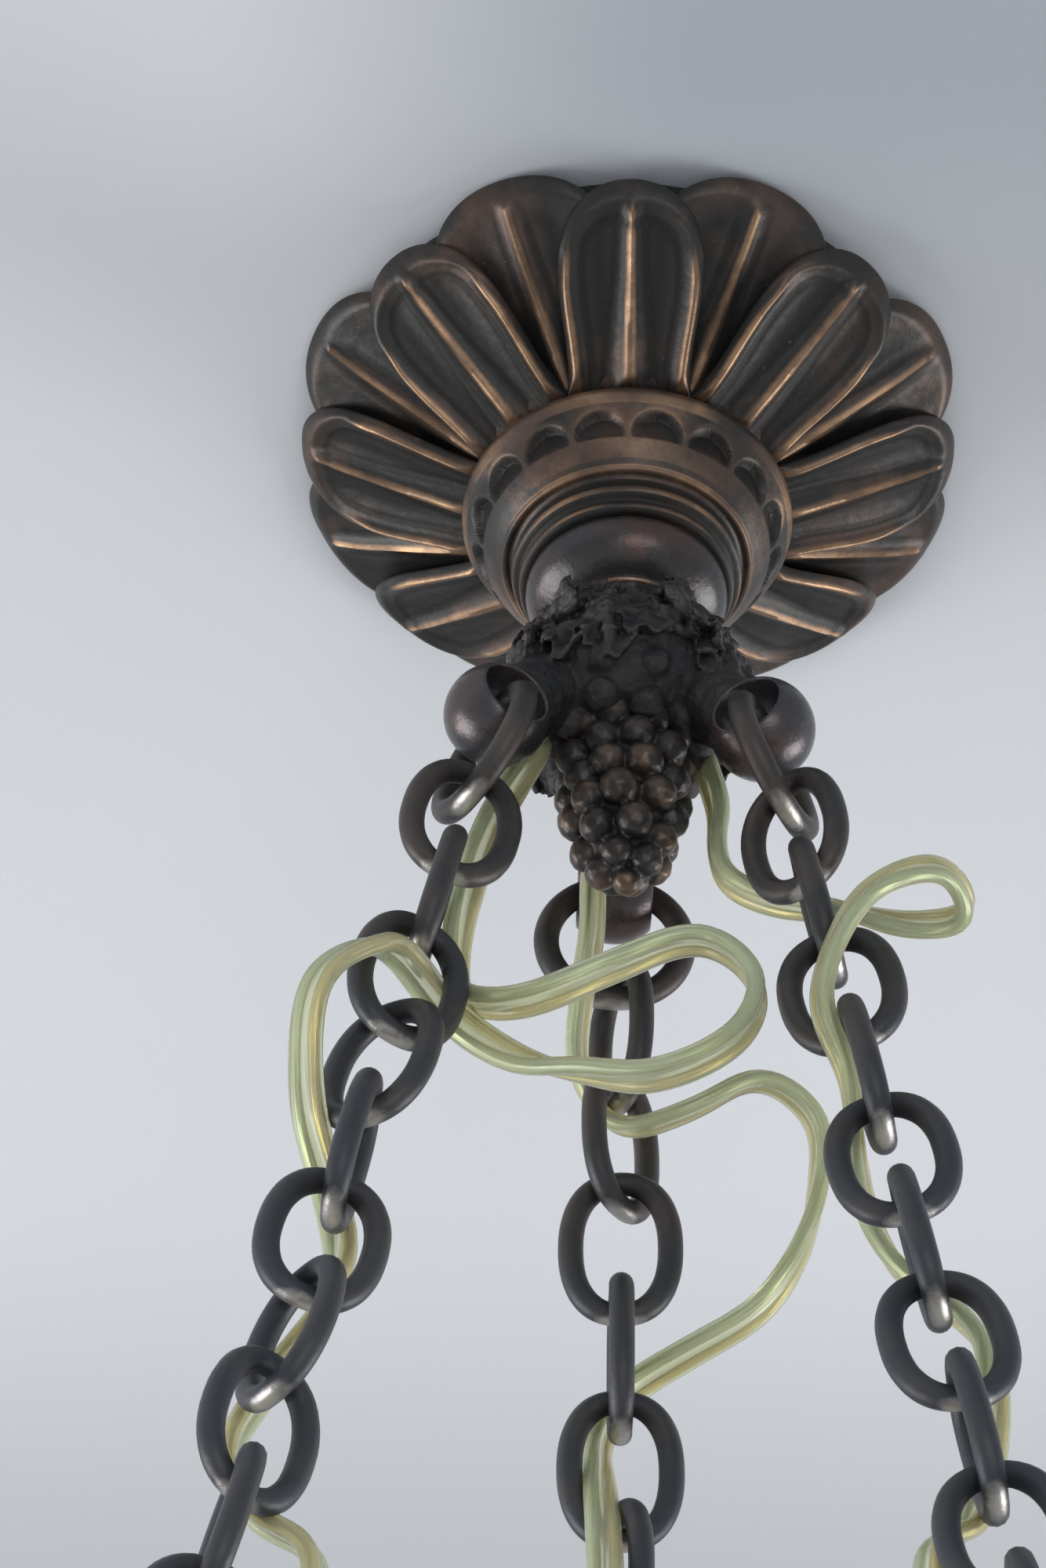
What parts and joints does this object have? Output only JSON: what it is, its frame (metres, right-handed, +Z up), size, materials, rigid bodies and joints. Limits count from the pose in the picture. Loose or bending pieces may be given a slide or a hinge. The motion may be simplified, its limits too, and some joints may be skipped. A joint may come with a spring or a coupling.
{
  "type": "pendant light",
  "caption": "Alabaster bowl pendant: lotus ceiling rose, leafy hub with grape finial, three link chains with clear cords, shallow bowl with lamps inside.",
  "frame": {"origin": "on the ceiling, in the middle of the top face of the strap", "axes": "+Z up into the ceiling, -Z down to the bowl, +X along the strap"},
  "size_m": [0.3496, 0.3583, 0.8631],
  "materials": {
    "bronze": "dark brown patina with ridges worn to golden copper",
    "dark_bronze": "near black, matt in the hollows and worn on the high spots",
    "chain_iron": "dark grey with a bluish sheen, bright where the links rub",
    "steel": "plain zinc plate",
    "brass": "plain turned brass",
    "alabaster": "veined alabaster, polished outside and dull inside",
    "porcelain": "white glaze",
    "opal_glass": "opal white",
    "clear_cord": "clear flexible sleeve over one copper and one tinned conductor"
  },
  "bodies": {
    "ceiling_fitting": {"ceiling_strap": "steel", "strap_screw_left": "steel", "strap_screw_right": "steel", "locknut_upper": "brass", "locknut_lower": "brass", "threaded_stem": "brass", "canopy_rose": "bronze", "gadroon_cup": "bronze", "turned_neck": "bronze", "hub_casting": "dark_bronze", "grape_finial": "dark_bronze", "terminal_block": "porcelain", "terminal_lead": "clear_cord", "cord_left": "clear_cord", "cord_right": "clear_cord", "cord_rear": "clear_cord"},
    "bowl": {"alabaster_bowl": "alabaster", "eye_bolt_left": "bronze", "eye_bolt_right": "bronze", "eye_bolt_rear": "bronze", "rosette_nut_left": "bronze", "rosette_nut_right": "bronze", "rosette_nut_rear": "bronze", "lamp_spider": "bronze", "cluster_cap": "bronze", "cluster_body": "bronze", "lampholder_1": "porcelain", "lampholder_2": "porcelain", "lampholder_3": "porcelain", "bulb_1": "opal_glass", "bulb_2": "opal_glass", "bulb_3": "opal_glass"},
    "chain_left": {"chain_left_ring": "chain_iron", "chain_left_link_2": "chain_iron", "chain_left_link_3": "chain_iron", "chain_left_link_4": "chain_iron", "chain_left_link_5": "chain_iron", "chain_left_link_6": "chain_iron", "chain_left_link_7": "chain_iron", "chain_left_link_8": "chain_iron", "chain_left_run": "chain_iron"},
    "chain_right": {"chain_right_ring": "chain_iron", "chain_right_link_2": "chain_iron", "chain_right_link_3": "chain_iron", "chain_right_link_4": "chain_iron", "chain_right_link_5": "chain_iron", "chain_right_link_6": "chain_iron", "chain_right_link_7": "chain_iron", "chain_right_link_8": "chain_iron", "chain_right_run": "chain_iron"},
    "chain_rear": {"chain_rear_ring": "chain_iron", "chain_rear_link_2": "chain_iron", "chain_rear_link_3": "chain_iron", "chain_rear_link_4": "chain_iron", "chain_rear_link_5": "chain_iron", "chain_rear_link_6": "chain_iron", "chain_rear_link_7": "chain_iron", "chain_rear_link_8": "chain_iron", "chain_rear_run": "chain_iron"}
  },
  "joints": [
    {"name": "bowl_sway", "type": "hinge", "parent": "ceiling_fitting", "child": "bowl", "pos_m": [0, 0, 0.0444], "axis": [0, 1, 0], "range_deg": [-5, 5], "deforming": ["cord_left", "cord_right", "cord_rear"]},
    {"name": "chain_left_swing", "type": "hinge", "parent": "ceiling_fitting", "child": "chain_left", "pos_m": [-0.02566, -0.01667, -0.1133], "axis": [0, 1, 0], "range_deg": [-6.6, 6.6]},
    {"name": "chain_right_swing", "type": "hinge", "parent": "ceiling_fitting", "child": "chain_right", "pos_m": [0.02726, -0.01389, -0.1133], "axis": [0, 1, 0], "range_deg": [-6.6, 6.6]},
    {"name": "chain_rear_swing", "type": "hinge", "parent": "ceiling_fitting", "child": "chain_rear", "pos_m": [-0.0016, 0.03056, -0.1133], "axis": [0, 1, 0], "range_deg": [-6.6, 6.6]}
  ],
  "couplings": [
    {"joint": "chain_left_swing", "follows": "bowl_sway", "ratio": 1.2538},
    {"joint": "chain_right_swing", "follows": "bowl_sway", "ratio": 1.2538},
    {"joint": "chain_rear_swing", "follows": "bowl_sway", "ratio": 1.2538}
  ]
}
